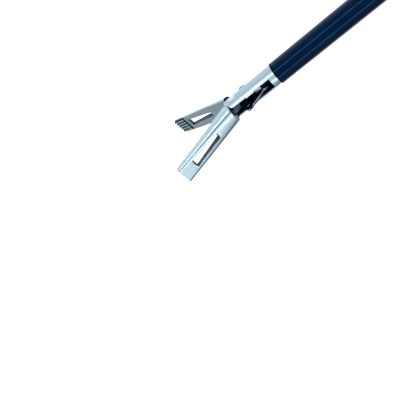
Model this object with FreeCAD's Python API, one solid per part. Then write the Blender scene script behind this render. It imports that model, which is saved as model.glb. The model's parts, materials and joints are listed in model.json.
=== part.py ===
import FreeCAD, Part
import math
import os
from FreeCAD import Vector

# Laparoscopic grasper with a 5 mm insulated shaft, toothed fenestrated jaws and a ring handle.
# +X runs back along the shaft to the handle, +Z is up, and the handle hangs towards -Z.
# The origin is on the shaft's axis, where the insulated shaft meets the turning knob.
# The jaws open in the XZ plane about a pin along Y. They are drawn open, as at rest.
# All sizes are in millimetres, and all angles are in degrees.

# Running and seating gaps
run_gap = 0.04
seat_gap = 0.02
side_gap = 0.03
# How far a cut runs past what it cuts
past = 1.0

# Shaft
working_length = 330.0
shaft_radius = 2.5
insulation_wall = 0.35
tube_wall = 0.4
pull_rod_radius = 0.8

# Clevis that carries the jaws. Its lengths run back from the jaw pivot.
clevis_radius = 2.34
slot_width = 2.32
slot_depth = 8.95
prong_end_radius = 2.17
collar_end = 10.5
end_ring_thickness = 0.3
spigot_length = 8.0
spigot_overlap = 0.5
link_pocket_radius = 1.6
link_pocket_depth = 1.9
clevis_bore_radius = 1.25

# Jaws. Their lengths run forward from the jaw pivot.
jaw_opening = 28.0
jaw_length = 19.35
jaw_shoulder = 2.3
jaw_root_radius = 2.46
jaw_tip_radius = 2.06
back_flat_root_height = 2.28
back_flat_tip_height = 1.30
edge_flat_root_angle = 39.0
edge_flat_tip_angle = 29.5
recess_start = 8.0
inner_recess = 0.48
tooth_pad_start = 16.45
tooth_count = 5
tooth_pitch = 0.76
tooth_depth = 0.34
pad_relief_length = 0.35
pad_relief_depth = 0.3
bite_gap = 0.03
window_start = 8.05
window_end = 15.85
window_start_width = 1.2
window_end_width = 2.06
jaw_hub_radius = 2.0
web_overlap = 0.6
web_toe_height = 0.35
tip_corner_radius = 0.6

# Pivot pin and the links that work the jaws
pivot_pin_radius = 0.75
pivot_head_radius = 1.0
pivot_head_height = 0.45
tail_pin_back = 2.3
tail_pin_out = 2.9
rod_pin_back = 6.8
tail_root_radius = 1.8
tail_thickness = 0.54
link_thickness = 0.5
link_pin_radius = 0.4
rod_pin_radius = 0.45
rod_pin_slack = 0.16
eye_radius = 0.86
link_waist_radius = 0.6
rod_end_radius = 1.0
rod_end_length = 9.0
rod_socket_depth = 5.0
tongue_length = 2.6
tongue_nose = 2.0
tongue_nose_radius = 0.45

# Turning knob and the hub behind it
knob_length = 22.0
knob_radius = 11.0
knob_nose_radius = 6.5
knob_nose_chamfer = 1.2
knob_shoulder = 8.5
knob_shoulder_ease = 1.5
knob_shoulder_drop = 0.6
knob_rear_radius = 9.2
knob_rear_taper = 1.5
knob_rear_chamfer = 0.6
knob_flutes = 9
knob_flute_radius = 3.2
knob_flute_depth = 1.5
knob_flute_start = 5.0
hub_front = 6.0
hub_radius = 4.2
journal_radius = 3.6
journal_end = 42.0
bush_wall = 1.3
bush_flange_radius = 6.2
bush_flange_thickness = 1.2
circlip_thickness = 0.8
circlip_groove_depth = 0.6
circlip_radius = 5.2
circlip_opening = 3.2
journal_tail = 2.0
o_ring_section = 0.7
o_ring_side_room = 0.1
seal_length = 3.0
seal_radius = 2.7
seal_cap_length = 1.5
seal_wall = 1.0

# Handle body
knob_gap = 0.6
nose_radius = 7.5
housing_radius = 8.6
housing_half_width = 7.6
housing_edge_round = 3.2
nose_length = 12.0
rear_centre_back = 57.0
rear_centre_down = 3.6
rear_radius = 12.0
handle_half_width = 5.2
handle_edge_round = 2.6
leg_top_back = 44.0
leg_top_down = 4.0
leg_top_radius = 8.5
leg_bottom_back = 37.0
leg_bottom_down = 45.0
leg_bottom_radius = 6.5
finger_ring_back = 36.0
finger_ring_down = 66.0
finger_ring_half_width = 11.0
finger_ring_half_length = 21.0
ring_wall = 5.4
blend_radius = 6.0
circlip_room = 0.4
journal_room = 1.5
neck_room = 1.0

# Thumb lever
lever_pivot_back = 56.0
lever_swing = 16.0
lever_angle = 36.0
lever_reach = 68.0
lever_half_width = 3.6
lever_side_room = 0.2
lever_edge_round = 1.6
lever_hub_radius = 5.2
lever_arm_radius = 4.0
thumb_ring_half_width = 11.5
thumb_ring_half_length = 15.0
thumb_ring_wall = 4.8
thumb_ring_thick_half = 4.4
thumb_ring_round = 2.1
ball_radius = 2.2
ball_neck_radius = 1.1
ball_neck_length = 7.0
rod_thread_length = 3.0
socket_wall = 1.7
socket_rise = 1.6
socket_room = 0.2
slit_floor_room = 0.5
lever_room = 0.45
lever_slot_reach = 30.0
lever_slot_steps = 5
lever_bush_radius = 2.5
pivot_screw_radius = 1.5
screw_head_radius = 2.8
screw_head_height = 1.8
nut_radius = 2.7
nut_height = 2.0

# Ratchet. Its angles are taken from straight down about the lever's pivot.
ratchet_radius = 28.0
ratchet_height = 4.0
ratchet_half_width = 1.25
ratchet_side_room = 0.25
ratchet_room = 0.4
ratchet_front_angle = -43.0
ratchet_tooth_angle = 2.0
ratchet_tooth_depth = 0.7
ratchet_undercut_angle = 0.4
ratchet_spare_teeth = 3
ratchet_tail_angle = 1.0
ratchet_slot_angle = 15.0
ratchet_slot_room = 0.1
ratchet_channel_run_out = 10.0
ratchet_pin_radius = 0.8
pawl_nose_angle = -38.0
pawl_pin_angle = -24.0
pawl_pin_drop = 4.0
pawl_pin_radius = 0.9
pawl_pin_cover = 1.0
pawl_tip_gap = 0.2
pawl_nose_height = 2.5
pawl_nose_ahead = 1.5
pawl_nose_behind = 2.2
pawl_neck_drop = 1.9
pawl_neck_ahead = 1.0
pawl_neck_radius = 1.45
pawl_hub_radius = 2.0
pawl_swing = 8.0
trigger_reach = 15.7
trigger_rise = 0.8
trigger_bar_radius = 1.3
trigger_pad_radius = 2.0
trigger_pad_length = 3.0
trigger_half_width = 2.4

# Small fasteners that clamp the handle's halves
body_screw_radius = 1.25
body_screw_head_radius = 1.95
body_screw_head_height = 1.4
body_screw_sink = 0.4
body_screw_grip = 2.5
socket_radius = 0.9
socket_depth = 0.9
lever_socket_radius = 1.35
rear_screw_back = 63.5
rear_screw_down = 1.5
leg_screw_back = 43.0
leg_screw_down = 17.5

# Electrode post for the current cable
post_radius = 2.0
post_length = 15.5
post_foot_radius = 1.6
post_tip_chamfer = 0.5
post_foot_length = 3.6
post_back = 50.0
post_tilt = 35.0
post_seat_sink = 1.5
collar_radius = 4.0
collar_length = 5.5
collar_sink = 1.0
contact_radius = 1.1
contact_end = 6.2

# Values worked out from the sizes above
pivot_x = -working_length
sleeve_inner_radius = shaft_radius - insulation_wall
tube_inner_radius = sleeve_inner_radius - tube_wall
slot_half = slot_width / 2
sleeve_start = pivot_x + collar_end + end_ring_thickness
tail_reach = math.hypot(tail_pin_back, tail_pin_out)
tail_angle_open = math.degrees(math.atan2(tail_pin_out, tail_pin_back))
tail_angle_closed = tail_angle_open - jaw_opening
link_length = math.hypot(rod_pin_back - tail_pin_back, tail_pin_out)


def rod_pin_place(tail_angle):
    """Distance of the rod pin behind the jaw pivot when the tails stand at this angle."""
    out = tail_reach * math.sin(math.radians(tail_angle))
    return tail_reach * math.cos(math.radians(tail_angle)) + math.sqrt(link_length**2 - out**2)


rod_travel = rod_pin_place(tail_angle_closed) - rod_pin_place(tail_angle_open)
ball_height = rod_travel / math.radians(lever_swing)
lever_pivot = (lever_pivot_back, -ball_height)
ball_x = lever_pivot_back - rod_travel / 2
handle_front = knob_length + knob_gap
bush_radius = journal_radius + run_gap + bush_wall
bush_end = journal_end - circlip_thickness - journal_tail
circlip_start = bush_end + run_gap
o_ring_x = (handle_front + bush_end) / 2
seal_start = journal_end - seal_length - seal_cap_length
tube_end = seal_start - seal_wall
rod_stop = ball_x - ball_neck_length + rod_thread_length
lever_slot_half = lever_half_width + lever_side_room
tongue_half = side_gap + tail_thickness

X_AXIS = Vector(1, 0, 0)
Y_AXIS = Vector(0, 1, 0)
nodes = {}


def point(x, z):
    return Vector(x, 0, z)


def polar(centre, radius, angle):
    """A point in the XZ plane. The angle is taken from straight down, growing towards +X."""
    a = math.radians(angle)
    return (centre[0] + radius * math.sin(a), centre[1] - radius * math.cos(a))


def bar_x(radius, start, end):
    """A round bar along X."""
    return Part.makeCylinder(radius, end - start, Vector(start, 0, 0), X_AXIS)


def tube_x(outer, inner, start, end):
    return bar_x(outer, start, end).cut(bar_x(inner, start - past, end + past))


def cone_x(radius_start, radius_end, start, end):
    return Part.makeCone(radius_start, radius_end, end - start, Vector(start, 0, 0), X_AXIS)


def pin_y(radius, x, z, start, end):
    """A round pin along Y."""
    return Part.makeCylinder(radius, end - start, Vector(x, start, z), Y_AXIS)


def hexagon_y(radius, x, z, start, end):
    """A six-sided bar along Y, by its radius over the corners."""
    corners = [Vector(x + radius * math.cos(k * math.pi / 3), start, z + radius * math.sin(k * math.pi / 3))
               for k in range(6)]
    return Part.Face(Part.makePolygon(corners + corners[:1])).extrude(Vector(0, end - start, 0))


def block(x0, x1, y0, y1, z0, z1):
    return Part.makeBox(x1 - x0, y1 - y0, z1 - z0, Vector(x0, y0, z0))


def outline(points):
    """A straight-edged face in the XZ plane."""
    corners = [point(x, z) for x, z in points]
    return Part.Face(Part.makePolygon(corners + corners[:1]))


def disc(centre, radius):
    circle = Part.Circle(point(*centre), Y_AXIS, radius)
    return Part.Face(Part.Wire(circle.toShape()))


def bar_face(start, start_radius, end, end_radius):
    """The face that two discs and their outer tangents enclose."""
    dx, dz = end[0] - start[0], end[1] - start[1]
    length = math.hypot(dx, dz)
    along = math.atan2(dz, dx)
    spread = math.acos((start_radius - end_radius) / length)

    def rim(centre, radius, angle):
        return point(centre[0] + radius * math.cos(angle), centre[1] + radius * math.sin(angle))

    first = rim(start, start_radius, along + spread)
    last = rim(start, start_radius, along - spread)
    far_first = rim(end, end_radius, along + spread)
    far_last = rim(end, end_radius, along - spread)
    back = rim(start, start_radius, along + math.pi)
    front = rim(end, end_radius, along)
    edges = [
        Part.Arc(last, back, first).toShape(),
        Part.LineSegment(first, far_first).toShape(),
        Part.Arc(far_first, front, far_last).toShape(),
        Part.LineSegment(far_last, last).toShape(),
    ]
    return Part.Face(Part.Wire(edges))


def racetrack(centre, half_width, half_length, tilt=0.0):
    """An oval face. The tilt turns its long axis from straight down towards +X."""
    straight = half_length - half_width
    top = polar(centre, -straight, tilt)
    bottom = polar(centre, straight, tilt)
    return bar_face(top, half_width, bottom, half_width)


def slab(face, half_width, centre_y=0.0):
    """A face of the XZ plane thickened both ways along Y."""
    moved = face.copy()
    moved.translate(Vector(0, centre_y - half_width, 0))
    return moved.extrude(Vector(0, 2 * half_width, 0))


def layer(face, start, end):
    return slab(face, (end - start) / 2, (start + end) / 2)


def joined(faces):
    """One face from several that overlap, with its inner corners rounded."""
    whole = faces[0]
    for face in faces[1:]:
        whole = whole.fuse(face)
    whole = whole.removeSplitter().Faces[0]
    grown = whole.makeOffset2D(blend_radius)
    return grown.makeOffset2D(-blend_radius).Faces[0]


def rounded_slab(face, half_width, radius):
    """A slab whose two flat sides have rounded rims."""
    solid = slab(face, half_width)
    rims = [e for e in solid.Edges if abs(abs(e.CenterOfMass.y) - half_width) < 1e-4]
    return solid.makeFillet(radius, rims)


def at_pivot(shape):
    shape.translate(Vector(pivot_x, 0, 0))
    return shape


def turned(shape, angle, centre=(0.0, 0.0)):
    shape.rotate(point(*centre), Y_AXIS, angle)
    return shape


def mirrored(shape):
    """The part's twin on the other side: half a turn about the shaft's axis."""
    twin = shape.copy()
    twin.rotate(Vector(0, 0, 0), X_AXIS, 180)
    return twin


def ring_sector(centre, inner, outer, start_angle, end_angle):
    """A curved bar's face in the XZ plane, between two angles from straight down."""
    middle = (start_angle + end_angle) / 2
    a, b, c = (point(*polar(centre, outer, t)) for t in (start_angle, middle, end_angle))
    d, e, f = (point(*polar(centre, inner, t)) for t in (end_angle, middle, start_angle))
    edges = [
        Part.Arc(a, b, c).toShape(),
        Part.LineSegment(c, d).toShape(),
        Part.Arc(d, e, f).toShape(),
        Part.LineSegment(f, a).toShape(),
    ]
    return Part.Face(Part.Wire(edges))


# Jaws and links, drawn about the jaw pivot

def back_section(x, radius, height, angle):
    """Outline of the jaw's back: a flat at this height, and a flat beside it that ends at this angle."""
    width = math.sqrt(radius**2 - height**2)
    a = math.radians(angle)
    run, drop = radius * math.cos(a) - width, height - radius * math.sin(a)
    # The side flats' planes are carried on until they are outside the round blade
    scale = 1 + jaw_root_radius / run
    far_y, far_z = width + scale * run, height - scale * drop
    half = [(far_y, min(far_z, 0) - past), (far_y, far_z), (width, height)]
    corners = [Vector(x, y, z) for y, z in half] + [Vector(x, -y, z) for y, z in reversed(half)]
    return Part.makePolygon(corners + corners[:1])


def tip_corner(side):
    """What comes off a corner of the tip, seen from above, to round it."""
    x = -jaw_length + tip_corner_radius
    y = jaw_tip_radius - tip_corner_radius
    reach = 2 * jaw_root_radius
    corner = block(-jaw_length - past, x, y, reach, -reach, reach)
    corner = corner.cut(Part.makeCylinder(tip_corner_radius, 2 * reach, Vector(x, y, -reach)))
    return corner if side > 0 else corner.mirror(Vector(0, 0, 0), Y_AXIS)


def jaw_blade():
    """The blade in front of the clevis, drawn closed, above the XY plane."""
    blade = cone_x(jaw_tip_radius, jaw_root_radius, -jaw_length, -jaw_shoulder)
    back = Part.makeLoft([
        back_section(-jaw_length, jaw_tip_radius, back_flat_tip_height, edge_flat_tip_angle),
        back_section(-jaw_shoulder, jaw_root_radius, back_flat_root_height, edge_flat_root_angle),
    ], True, True)
    reach = 2 * jaw_root_radius
    below = block(-jaw_length - past, 0, -reach, reach, -reach, bite_gap)
    recess = outline([
        (-tooth_pad_start, -reach),
        (-tooth_pad_start, inner_recess),
        (-recess_start, bite_gap),
        (-recess_start, -reach),
    ])
    relief_end = -tooth_pad_start + pad_relief_length
    relief = block(-tooth_pad_start, relief_end, -reach, reach, -reach, inner_recess + pad_relief_depth)
    corners = [tip_corner(side) for side in (-1, 1)]
    return blade.common(back).cut([below, slab(recess, reach), relief] + corners)


def tooth_grooves(shift):
    """V grooves that leave lengthwise ridges on the pad. The shift lets the two jaws' ridges mesh."""
    grooves = []
    for i in range(-1, tooth_count + 1):
        y = (i - tooth_count / 2 + 0.5 + shift) * tooth_pitch
        half = tooth_pitch / 2
        profile = [(y - half, bite_gap), (y + half, bite_gap), (y, bite_gap + tooth_depth)]
        corners = [Vector(-jaw_length - past, py, pz) for py, pz in profile]
        face = Part.Face(Part.makePolygon(corners + corners[:1]))
        grooves.append(face.extrude(Vector(jaw_length + past - tooth_pad_start, 0, 0)))
    return grooves


def jaw_window():
    half0, half1 = window_start_width / 2, window_end_width / 2
    corners = [
        Vector(-window_start, -half0, 0),
        Vector(-window_start, half0, 0),
        Vector(-window_end, half1, 0),
        Vector(-window_end, -half1, 0),
    ]
    face = Part.Face(Part.makePolygon(corners + corners[:1]))
    return face.extrude(Vector(0, 0, 2 * jaw_root_radius))


def tail_pin_closed():
    """The tail pin's place when the jaw is closed. Its tail slopes down behind the pivot."""
    a = math.radians(tail_angle_closed)
    return (tail_reach * math.cos(a), -tail_reach * math.sin(a))


def trimmed(shape):
    """What stays inside the clevis's round outline, so that the closed end passes a 5 mm port."""
    return shape.common(bar_x(clevis_radius, -jaw_length, rod_pin_back + link_length))


def upper_jaw(tooth_shift):
    hub_far = slot_half - run_gap
    hub = layer(disc((0, 0), jaw_hub_radius), side_gap, hub_far)
    web_face = outline([
        (-jaw_shoulder - web_overlap, web_toe_height),
        (-jaw_shoulder - web_overlap, jaw_hub_radius),
        (0, jaw_hub_radius - seat_gap),
        (0, 0),
        (-tail_root_radius, web_toe_height),
    ])
    web = layer(web_face, side_gap, hub_far)
    tail = layer(bar_face((0, 0), tail_root_radius, tail_pin_closed(), eye_radius), side_gap, tongue_half)
    x, z = tail_pin_closed()
    jaw = jaw_blade().cut(tooth_grooves(tooth_shift) + [jaw_window()])
    jaw = jaw.fuse([trimmed(hub), web, trimmed(tail)]).removeSplitter()
    jaw = jaw.cut([
        pin_y(pivot_pin_radius + run_gap, 0, 0, 0, slot_half),
        pin_y(link_pin_radius + seat_gap, x, z, 0, slot_half),
    ])
    return jaw


def upper_link_pin():
    x, z = tail_pin_closed()
    return trimmed(pin_y(link_pin_radius, x, z, side_gap, slot_half - run_gap))


def upper_link():
    """Link from the upper jaw's tail pin to the rod pin, drawn with the jaws closed."""
    tail = tail_pin_closed()
    rod = (rod_pin_place(tail_angle_closed), 0.0)
    start = tongue_half + side_gap
    end = start + link_thickness
    link = layer(bar_face(tail, link_waist_radius, rod, link_waist_radius), start, end)
    eyes = [layer(disc(place, eye_radius), start, end) for place in (tail, rod)]
    link = trimmed(link.fuse(eyes).removeSplitter())
    link = link.cut([
        pin_y(link_pin_radius + run_gap, *tail, 0, slot_half),
        pin_y(rod_pin_radius + rod_pin_slack, *rod, 0, slot_half),
    ])
    # Carried back to the open pose about the rod pin, and forward with the rod
    link_angle_closed = math.degrees(math.asin(-tail[1] / link_length))
    link_angle_open = math.degrees(math.asin(tail_pin_out / link_length))
    turned(link, link_angle_closed - link_angle_open, rod)
    link.translate(Vector(rod_pin_back - rod[0], 0, 0))
    return link


def clevis():
    body = bar_x(clevis_radius, 0, collar_end)
    side = outline([
        (0, -clevis_radius),
        (0, clevis_radius),
        (collar_end, clevis_radius),
        (collar_end, -clevis_radius),
    ])
    nose_face = disc((0, 0), prong_end_radius).fuse(side)
    reach = clevis_radius + past
    nose = bar_x(clevis_radius, -prong_end_radius - past, collar_end).common(slab(nose_face, reach))
    body = body.fuse(nose).removeSplitter()
    spigot_end = collar_end + spigot_length
    body = body.fuse(bar_x(tube_inner_radius - seat_gap, collar_end - spigot_overlap, spigot_end))
    slot = block(-prong_end_radius - past, slot_depth, -slot_half, slot_half, -reach, reach)
    head_floor = clevis_radius - pivot_head_height
    return body.cut([
        slot,
        bar_x(link_pocket_radius, slot_depth, slot_depth + link_pocket_depth),
        bar_x(clevis_bore_radius, slot_depth, spigot_end + past),
        pin_y(pivot_pin_radius + seat_gap, 0, 0, -reach, reach),
        pin_y(pivot_head_radius + seat_gap, 0, 0, head_floor, reach),
        pin_y(pivot_head_radius + seat_gap, 0, 0, -reach, -head_floor),
    ])


def jaw_pivot_pin():
    head_floor = clevis_radius - pivot_head_height + seat_gap
    shank = pin_y(pivot_pin_radius, 0, 0, -head_floor, head_floor)
    heads = [
        pin_y(pivot_head_radius, 0, 0, head_floor, clevis_radius),
        pin_y(pivot_head_radius, 0, 0, -clevis_radius, -head_floor),
    ]
    flush = bar_x(clevis_radius, -pivot_head_radius, pivot_head_radius)
    return shank.fuse(heads).removeSplitter().common(flush)


def rod_end():
    """Flat tongue between the links, and the socket that holds the pull rod."""
    shank_start = rod_pin_back + tongue_length
    end = rod_pin_back + rod_end_length
    shank = bar_x(rod_end_radius, shank_start, end)
    eye = bar_face((rod_pin_back, 0), eye_radius, (shank_start, 0), eye_radius)
    nose_end = (rod_pin_back - tongue_nose, 0)
    nose = bar_face((rod_pin_back, 0), tongue_nose_radius, nose_end, tongue_nose_radius)
    tongue = layer(eye.fuse(nose).removeSplitter().Faces[0], -tongue_half, tongue_half)
    root = layer(bar_face((shank_start, 0), eye_radius, (end - rod_socket_depth, 0), eye_radius),
                 -tongue_half, tongue_half)
    return shank.fuse([tongue, root]).removeSplitter().cut([
        pin_y(rod_pin_radius + seat_gap, rod_pin_back, 0, -rod_end_radius, rod_end_radius),
        bar_x(pull_rod_radius + seat_gap, end - rod_socket_depth, end + past),
    ])


upper = turned(upper_jaw(0.0), jaw_opening)
lower = mirrored(turned(upper_jaw(0.5), jaw_opening))
pin = turned(upper_link_pin(), jaw_opening)
link = upper_link()
nodes["upper_jaw"] = at_pivot(upper)
nodes["lower_jaw"] = at_pivot(lower)
nodes["lower_link_pin"] = at_pivot(mirrored(pin))
nodes["upper_link_pin"] = at_pivot(pin)
nodes["lower_link"] = at_pivot(mirrored(link))
nodes["upper_link"] = at_pivot(link)
nodes["clevis"] = at_pivot(clevis())
nodes["jaw_pivot_pin"] = at_pivot(jaw_pivot_pin())
rod_pin_half = slot_half - run_gap
nodes["rod_pin"] = at_pivot(pin_y(rod_pin_radius, rod_pin_back, 0, -rod_pin_half, rod_pin_half))
nodes["rod_end"] = at_pivot(rod_end())

# Shaft

nodes["outer_tube"] = tube_x(sleeve_inner_radius, tube_inner_radius, sleeve_start, tube_end)
nodes["insulation_sleeve"] = tube_x(shaft_radius, sleeve_inner_radius, sleeve_start, 0)
ring_start = sleeve_start - end_ring_thickness
nodes["sleeve_end_ring"] = tube_x(shaft_radius, tube_inner_radius, ring_start, sleeve_start)
rod_start = pivot_x + rod_pin_back + rod_end_length - rod_socket_depth + seat_gap
nodes["pull_rod"] = bar_x(pull_rod_radius, rod_start, rod_stop)


def rotation_knob():
    """Fluted knob, tapered towards the shaft."""
    profile = [
        Vector(0, 0, sleeve_inner_radius),
        Vector(0, 0, knob_nose_radius - knob_nose_chamfer),
        Vector(knob_nose_chamfer, 0, knob_nose_radius),
        Vector(knob_shoulder - knob_shoulder_ease, 0, knob_radius - knob_shoulder_drop),
        Vector(knob_shoulder, 0, knob_radius),
        Vector(knob_length - 2 * knob_rear_taper, 0, knob_radius),
        Vector(knob_length - knob_rear_taper, 0, knob_rear_radius),
        Vector(knob_length, 0, knob_rear_radius - knob_rear_chamfer),
        Vector(knob_length, 0, sleeve_inner_radius),
    ]
    body = Part.Face(Part.makePolygon(profile + profile[:1])).revolve(Vector(0, 0, 0), X_AXIS, 360)
    flute_centre = knob_radius + knob_flute_radius - knob_flute_depth
    flutes = []
    for i in range(knob_flutes):
        a = 2 * math.pi * i / knob_flutes
        start = Vector(knob_flute_start, flute_centre * math.sin(a), flute_centre * math.cos(a))
        flutes.append(Part.makeCylinder(knob_flute_radius, knob_length, start, X_AXIS))
        flutes.append(Part.makeSphere(knob_flute_radius, start))
    hub_space = bar_x(hub_radius, hub_front, knob_length + past)
    return body.cut(flutes + [hub_space])


def shaft_hub():
    """Steel hub that the tube is soldered into. Its journal turns in the handle's nose."""
    body = bar_x(hub_radius, hub_front, knob_length).fuse(bar_x(journal_radius, hub_front, journal_end))
    o_ring_groove = tube_x(journal_radius + past, journal_radius - o_ring_section,
                           o_ring_x - o_ring_section, o_ring_x + o_ring_section)
    return body.removeSplitter().cut([
        bar_x(sleeve_inner_radius + seat_gap, hub_front - past, tube_end),
        bar_x(clevis_bore_radius, hub_front, journal_end + past),
        bar_x(seal_radius, seal_start, journal_end + past),
        tube_x(journal_radius + past, journal_radius - circlip_groove_depth, circlip_start,
               circlip_start + circlip_thickness + run_gap),
        o_ring_groove,
    ])


def circlip():
    """Open retaining ring that keeps the hub in the handle."""
    end = circlip_start + circlip_thickness
    ring = tube_x(circlip_radius, journal_radius - circlip_groove_depth + seat_gap, circlip_start, end)
    half = circlip_opening / 2
    return ring.cut(block(circlip_start - past, end + past, -half, half, -circlip_radius - past, 0))


nodes["rotation_knob"] = rotation_knob()
nodes["shaft_hub"] = shaft_hub()
nodes["hub_circlip"] = circlip()
o_ring_half = o_ring_section - o_ring_side_room
nodes["hub_o_ring"] = tube_x(journal_radius - seat_gap, journal_radius - o_ring_section + seat_gap,
                             o_ring_x - o_ring_half, o_ring_x + o_ring_half)
nodes["rod_seal"] = tube_x(seal_radius, pull_rod_radius + run_gap, seal_start, seal_start + seal_length)
nodes["seal_cap"] = tube_x(seal_radius, clevis_bore_radius, seal_start + seal_length, journal_end)
bush = tube_x(bush_radius, journal_radius + run_gap, handle_front, bush_end)
flange = tube_x(bush_flange_radius, journal_radius + run_gap, handle_front,
                handle_front + bush_flange_thickness)
nodes["nose_bush"] = bush.fuse(flange).removeSplitter()


def rod_ball():
    """Ball that the lever's socket drives, with a neck that screws on to the pull rod."""
    neck_start = ball_x - ball_neck_length
    ball = Part.makeSphere(ball_radius, Vector(ball_x, 0, 0))
    ball = ball.fuse(bar_x(ball_neck_radius, neck_start, ball_x)).removeSplitter()
    return ball.cut(bar_x(pull_rod_radius + seat_gap, neck_start - past, rod_stop + seat_gap))


nodes["rod_ball"] = rod_ball()

# Thumb lever, drawn at rest

thumb_centre = polar(lever_pivot, lever_reach, lever_angle)
ratchet_inner = ratchet_radius - ratchet_height / 2
ratchet_outer = ratchet_radius + ratchet_height / 2


def thumb_lever():
    """Lever with a socket for the rod's ball above its pivot and the thumb ring below."""
    oval = racetrack(thumb_centre, thumb_ring_half_width + thumb_ring_wall,
                     thumb_ring_half_length + thumb_ring_wall, lever_angle)
    hole = racetrack(thumb_centre, thumb_ring_half_width, thumb_ring_half_length, lever_angle)
    arm_end = polar(lever_pivot, lever_reach - thumb_ring_half_length - thumb_ring_wall / 2, lever_angle)
    arm = bar_face(lever_pivot, lever_hub_radius, arm_end, lever_arm_radius)
    lower = rounded_slab(joined([oval, arm]).cut(hole).Faces[0], lever_half_width, lever_edge_round)
    band = oval.cut(hole).Faces[0]
    ring = rounded_slab(band, thumb_ring_thick_half, thumb_ring_round)
    socket_half = ball_radius + run_gap
    top = ball_height + socket_rise
    tower_half = socket_half + socket_wall
    tower = block(-tower_half, tower_half, -lever_half_width, lever_half_width, 0, top)
    pocket_half = ball_radius + socket_room
    pocket = block(-socket_half, socket_half, -pocket_half, pocket_half,
                   ball_height - pocket_half, top + past)
    slit_half = ball_neck_radius + socket_room
    slit = block(-tower_half - past, 0, -slit_half, slit_half,
                 ball_height - ball_neck_radius - slit_floor_room, top + past)
    for piece in (tower, pocket, slit):
        piece.translate(point(*lever_pivot))
        turned(piece, -lever_swing / 2, lever_pivot)
    slot_face = ring_sector(lever_pivot, ratchet_inner - ratchet_slot_room, ratchet_outer + ratchet_slot_room,
                            lever_angle - ratchet_slot_angle, lever_angle + 2 * ratchet_tail_angle)
    bar_slot = slab(slot_face, ratchet_half_width + seat_gap)
    pin = polar(lever_pivot, ratchet_radius, lever_angle)
    body = lower.fuse([ring, tower]).removeSplitter()
    wide = thumb_ring_thick_half + past
    return body.cut([
        pocket,
        slit,
        bar_slot,
        pin_y(lever_bush_radius, *lever_pivot, -wide, wide),
        pin_y(ratchet_pin_radius + seat_gap, *pin, -wide, wide),
    ])


nodes["thumb_lever"] = thumb_lever()
lever_bush = pin_y(lever_bush_radius, *lever_pivot, -lever_half_width, lever_half_width)
nodes["lever_bush"] = lever_bush.cut(
    pin_y(pivot_screw_radius + run_gap, *lever_pivot, -lever_slot_half, lever_slot_half))

# Ratchet


def ratchet_bar():
    """Curved toothed bar, centred on the lever's pivot and pinned in the lever."""
    face = ring_sector(lever_pivot, ratchet_inner, ratchet_outer,
                       ratchet_front_angle, lever_angle + ratchet_tail_angle)
    body = slab(face, ratchet_half_width)
    rim = ratchet_outer + ratchet_slot_room
    notches = []
    for i in range(int(lever_swing / ratchet_tooth_angle) + ratchet_spare_teeth):
        angle = pawl_nose_angle + (i - 1) * ratchet_tooth_angle
        notch = outline([
            polar(lever_pivot, ratchet_outer - ratchet_tooth_depth, angle),
            polar(lever_pivot, rim, angle - ratchet_undercut_angle),
            polar(lever_pivot, rim, angle + ratchet_tooth_angle),
        ])
        notches.append(slab(notch, ratchet_half_width + past))
    x, z = polar(lever_pivot, ratchet_radius, lever_angle)
    pin_hole = pin_y(ratchet_pin_radius + seat_gap, x, z, -lever_half_width, lever_half_width)
    return body.cut(notches + [pin_hole])


nodes["ratchet_bar"] = ratchet_bar()
nodes["ratchet_bar_pin"] = pin_y(ratchet_pin_radius, *polar(lever_pivot, ratchet_radius, lever_angle),
                                 -lever_half_width, lever_half_width)

# Handle body in two halves

ring_centre = (finger_ring_back, -finger_ring_down)


def handle_outline():
    leg_top = (leg_top_back, -leg_top_down)
    leg_bottom = (leg_bottom_back, -leg_bottom_down)
    oval = racetrack(ring_centre, finger_ring_half_width + ring_wall, finger_ring_half_length + ring_wall)
    hole = racetrack(ring_centre, finger_ring_half_width, finger_ring_half_length)
    leg = bar_face(leg_top, leg_top_radius, leg_bottom, leg_bottom_radius)
    return joined([oval, leg]).cut(hole).Faces[0]


def handle_housing():
    """Rounded housing round the lever's socket, with a round nose for the hub's bearing."""
    front = (handle_front + nose_length / 2 + housing_radius, 0)
    side = bar_face(front, housing_radius, (rear_centre_back, -rear_centre_down), rear_radius)
    body = rounded_slab(side, housing_half_width, housing_edge_round)
    return body.fuse(bar_x(nose_radius, handle_front, handle_front + nose_length))


def lever_room_cut():
    """Space for the lever's tower, hub and arm over its whole swing."""
    half = ball_radius + socket_wall + run_gap
    reach = ball_height + socket_rise
    swing = math.radians(lever_swing / 2)
    wide = half * math.cos(swing) + reach * math.sin(swing) + lever_room
    tower = block(lever_pivot[0] - wide, lever_pivot[0] + wide, -lever_slot_half, lever_slot_half,
                  lever_pivot[1], lever_pivot[1] + math.hypot(half, reach) + lever_room)
    cuts = [tower]
    for i in range(lever_slot_steps):
        angle = lever_angle - lever_swing * i / (lever_slot_steps - 1)
        far = polar(lever_pivot, lever_slot_reach, angle)
        arm = bar_face(lever_pivot, lever_hub_radius + lever_room, far, lever_arm_radius + lever_room)
        cuts.append(slab(arm, lever_slot_half))
    return cuts


pawl_pin_place = polar(lever_pivot, ratchet_outer + pawl_pin_drop, pawl_pin_angle)
pawl_neck_place = polar(lever_pivot, ratchet_outer + pawl_neck_drop, pawl_nose_angle - pawl_neck_ahead)
pawl_pin_half = handle_half_width - pawl_pin_cover
trigger_end = (pawl_pin_place[0] - trigger_reach, pawl_pin_place[1] + trigger_rise)


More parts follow.
